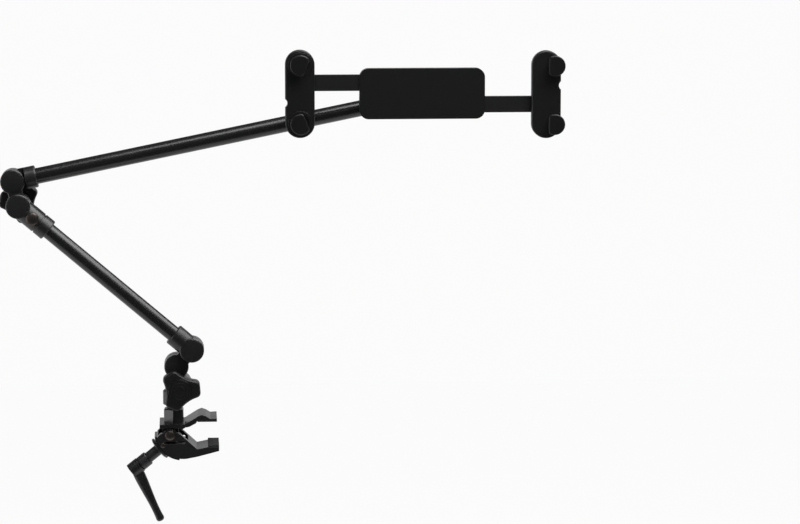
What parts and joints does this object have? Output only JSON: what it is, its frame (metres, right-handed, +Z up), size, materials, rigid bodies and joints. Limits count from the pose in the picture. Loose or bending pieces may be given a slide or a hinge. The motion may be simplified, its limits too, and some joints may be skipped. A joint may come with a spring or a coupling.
{
  "type": "clamp-on tablet arm",
  "caption": "Table clamp with a folding two-tube arm and friction joints that ends in a width-adjustable holder gripping a tablet by its short edges.",
  "frame": {"origin": "on the pad of the clamp's upper jaw, over the table's edge, so Z 0 is the table top", "axes": "+X to the right along the table, +Y away from the front, +Z up"},
  "size_m": [0.5593, 0.0859, 0.4803],
  "materials": {
    "pad": "matt black rubber",
    "grip_rubber": "matt black rubber",
    "grip_plastic": "satin black plastic",
    "knob_plastic": "satin black plastic",
    "knob_disc": "satin dark grey plastic",
    "washer_plastic": "dark friction plastic",
    "bright_pin": "bright steel",
    "brass_insert": "plain brass",
    "black_steel": "black steel",
    "screw_steel": "black-coated steel",
    "tube_paint": "satin black paint",
    "lever_plastic": "satin black paint",
    "holder_plastic": "satin black plastic",
    "slide_metal": "satin black paint",
    "cast_paint": "satin black paint"
  },
  "bodies": {
    "clamp": {"clamp_frame": "cast_paint", "clamp_pad": "pad", "clamp_nut": "brass_insert", "jaw_pin": "bright_pin", "post_collar": "cast_paint"},
    "lower_jaw": {"lower_jaw": "cast_paint", "jaw_pad": "pad", "jaw_rivets": "bright_pin"},
    "thrust_washer": {"thrust_washer": "screw_steel"},
    "spindle": {"spindle": "screw_steel", "spindle_ferrule": "screw_steel", "lever_screw": "black_steel"},
    "lever": {"lever_handle": "lever_plastic"},
    "post": {"post": "cast_paint", "shoulder_stud": "black_steel", "post_washer": "washer_plastic"},
    "shoulder_link": {"shoulder_link": "cast_paint"},
    "shoulder_knob": {"shoulder_knob": "knob_plastic", "shoulder_knob_face": "knob_disc", "shoulder_knob_insert": "brass_insert"},
    "knuckle": {"knuckle": "cast_paint", "link_bolt": "black_steel", "link_washer": "washer_plastic"},
    "lower_arm": {"lower_tube": "tube_paint", "lower_sleeve_shoulder": "cast_paint", "lower_sleeve_elbow": "cast_paint", "sleeve_boss": "cast_paint", "shoulder_bolt": "black_steel", "shoulder_washer": "washer_plastic", "elbow_stud": "black_steel", "elbow_washer": "washer_plastic"},
    "elbow_link": {"elbow_link": "cast_paint", "wrist_bolt": "black_steel", "wrist_washer": "washer_plastic"},
    "elbow_knob": {"elbow_knob": "knob_plastic", "elbow_knob_face": "knob_disc", "elbow_knob_insert": "brass_insert"},
    "upper_arm": {"upper_sleeve": "cast_paint", "upper_tube": "tube_paint", "head_ring": "cast_paint"},
    "head_fork": {"head_fork": "cast_paint", "head_pin": "black_steel"},
    "head_lug": {"head_lug": "cast_paint"},
    "holder": {"holder_housing": "holder_plastic"},
    "left_slide": {"left_slide": "slide_metal", "left_bracket": "holder_plastic", "left_top_core": "grip_rubber", "left_bottom_core": "grip_rubber"},
    "right_slide": {"right_slide": "slide_metal", "right_bracket": "holder_plastic", "right_top_core": "grip_rubber", "right_bottom_core": "grip_rubber"},
    "left_top_cap": {"left_top_cap": "grip_plastic", "left_top_nut": "black_steel"},
    "left_bottom_cap": {"left_bottom_cap": "grip_plastic", "left_bottom_nut": "black_steel"},
    "right_top_cap": {"right_top_cap": "grip_plastic", "right_top_nut": "black_steel"},
    "right_bottom_cap": {"right_bottom_cap": "grip_plastic", "right_bottom_nut": "black_steel"}
  },
  "joints": [
    {"name": "thrust_travel", "type": "slide", "parent": "clamp", "child": "thrust_washer", "axis": [-0.7771, 0, -0.6293], "range_m": [-0.001, 0.00337]},
    {"name": "spindle_turn", "type": "hinge", "parent": "thrust_washer", "child": "spindle", "pos_m": [-0.03992, 0, -0.02972], "axis": [-0.7771, 0, -0.6293], "range_deg": [-180.1, 606.1]},
    {"name": "lever_lift", "type": "slide", "parent": "spindle", "child": "lever", "axis": [-0.7771, 0, -0.6293], "range_m": [0, 0.004], "stiffness_N_per_m": 600, "springref_m": -0.004},
    {"name": "jaw_pivot", "type": "hinge", "parent": "clamp", "child": "lower_jaw", "pos_m": [-0.0301, 0, -0.0132], "axis": [0, 1, 0], "range_deg": [-7.13, 23.97]},
    {"name": "post_swivel", "type": "hinge", "parent": "clamp", "child": "post", "pos_m": [-0.0262, 0, 0.0072], "axis": [0, 0, 1], "continuous": true},
    {"name": "shoulder_tilt", "type": "hinge", "parent": "post", "child": "shoulder_link", "pos_m": [-0.0197, 0, 0.0348], "axis": [0, 1, 0], "range_deg": [-35, 45]},
    {"name": "shoulder_knob_turn", "type": "hinge", "parent": "post", "child": "shoulder_knob", "pos_m": [-0.0197, -0.0112, 0.0348], "axis": [0, 1, 0], "continuous": true},
    {"name": "knuckle_fold", "type": "hinge", "parent": "shoulder_link", "child": "knuckle", "pos_m": [-0.023, -0.0112, 0.0564], "axis": [0, 1, 0], "range_deg": [-60, 20]},
    {"name": "lower_arm_fold", "type": "hinge", "parent": "knuckle", "child": "lower_arm", "pos_m": [-0.0075, -0.0224, 0.0746], "axis": [0, 1, 0], "range_deg": [-15, 75]},
    {"name": "elbow_fold", "type": "hinge", "parent": "lower_arm", "child": "elbow_link", "pos_m": [-0.17742, -0.0224, 0.22024], "axis": [0, 1, 0], "range_deg": [-120, 10]},
    {"name": "elbow_knob_turn", "type": "hinge", "parent": "lower_arm", "child": "elbow_knob", "pos_m": [-0.17742, 0, 0.22024], "axis": [0, 1, 0], "continuous": true},
    {"name": "upper_arm_fold", "type": "hinge", "parent": "elbow_link", "child": "upper_arm", "pos_m": [-0.18303, -0.0112, 0.24358], "axis": [0, 1, 0], "range_deg": [-150, 5]},
    {"name": "head_roll", "type": "hinge", "parent": "upper_arm", "child": "head_fork", "pos_m": [0.22168, -0.0112, 0.32592], "axis": [0.9799, 0, 0.1994], "range_deg": [-90, 90]},
    {"name": "head_pan", "type": "hinge", "parent": "head_fork", "child": "head_lug", "pos_m": [0.22168, -0.0112, 0.32592], "axis": [-0.1994, 0, 0.9799], "range_deg": [-5, 60]},
    {"name": "holder_turn", "type": "hinge", "parent": "head_lug", "child": "holder", "pos_m": [0.22168, -0.033, 0.32592], "axis": [0, 1, 0], "continuous": true},
    {"name": "left_slide_travel", "type": "slide", "parent": "holder", "child": "left_slide", "axis": [-1, 0, 0], "range_m": [-0.03, 0.02]},
    {"name": "right_slide_travel", "type": "slide", "parent": "holder", "child": "right_slide", "axis": [1, 0, 0], "range_m": [-0.03, 0.02]},
    {"name": "left_top_cap_turn", "type": "hinge", "parent": "left_slide", "child": "left_top_cap", "pos_m": [0.10095, -0.0605, 0.36032], "axis": [0, 1, 0], "continuous": true},
    {"name": "left_bottom_cap_turn", "type": "hinge", "parent": "left_slide", "child": "left_bottom_cap", "pos_m": [0.10095, -0.0605, 0.30272], "axis": [0, 1, 0], "continuous": true},
    {"name": "right_top_cap_turn", "type": "hinge", "parent": "right_slide", "child": "right_top_cap", "pos_m": [0.351, -0.0605, 0.35862], "axis": [0, 1, 0], "continuous": true},
    {"name": "right_bottom_cap_turn", "type": "hinge", "parent": "right_slide", "child": "right_bottom_cap", "pos_m": [0.351, -0.0605, 0.30102], "axis": [0, 1, 0], "continuous": true}
  ],
  "couplings": [
    {"joint": "spindle_turn", "follows": "thrust_travel", "rad_per_m": 3141.6},
    {"joint": "jaw_pivot", "follows": "thrust_travel", "rad_per_m": 124.22}
  ]
}
